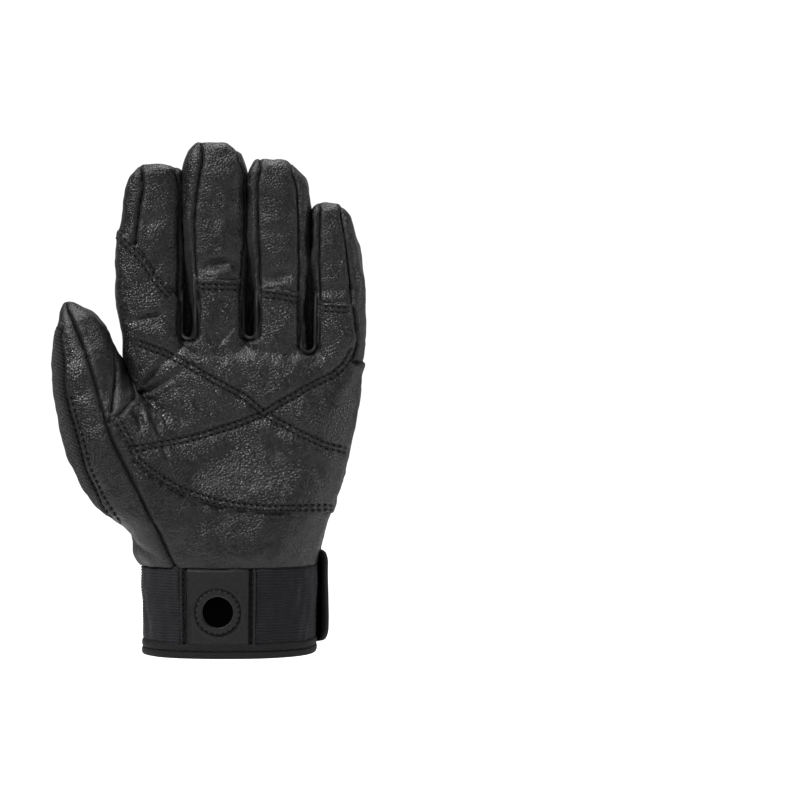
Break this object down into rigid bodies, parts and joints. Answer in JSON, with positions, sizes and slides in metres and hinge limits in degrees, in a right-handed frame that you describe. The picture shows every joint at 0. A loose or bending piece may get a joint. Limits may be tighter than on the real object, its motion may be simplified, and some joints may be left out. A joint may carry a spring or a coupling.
{
  "type": "climbing glove",
  "caption": "Full-finger leather climbing glove for the left hand, with a quilted palm patch, a knit back, an elastic cuff and a tab with a round hole for a carabiner.",
  "frame": {"origin": "middle of the cuff's opening, on the plane of the hem's lower edge, where the hand goes in", "axes": "+Z from the cuff to the fingertips, the palm faces -Y, the thumb is on -X"},
  "size_m": [0.1466, 0.065, 0.2393],
  "materials": {
    "leather": "pebbled, satin",
    "knit": "ribbed knit, matte",
    "elastic": "ribbed elastic, matte",
    "strap": "smooth, matte"
  },
  "bodies": {
    "root": {"index_front": "leather", "middle_front": "leather", "ring_front": "leather", "little_front": "leather", "index_back": "leather", "middle_back": "leather", "ring_back": "leather", "little_back": "leather", "fourchette_index_middle": "leather", "fourchette_middle_ring": "leather", "fourchette_ring_little": "leather", "index_side": "leather", "little_side": "leather", "thumb_outer": "leather", "thumb_front": "leather", "thumb_web": "leather", "palm_patch": "leather", "palm_heel": "leather", "cuff_tab": "leather", "tab_seam_left": "leather", "tab_seam_right": "leather", "tab_ring": "leather", "back_panel": "knit", "cuff_elastic": "elastic", "cuff_binding": "elastic", "closure_strap": "strap"}
  },
  "joints": []
}
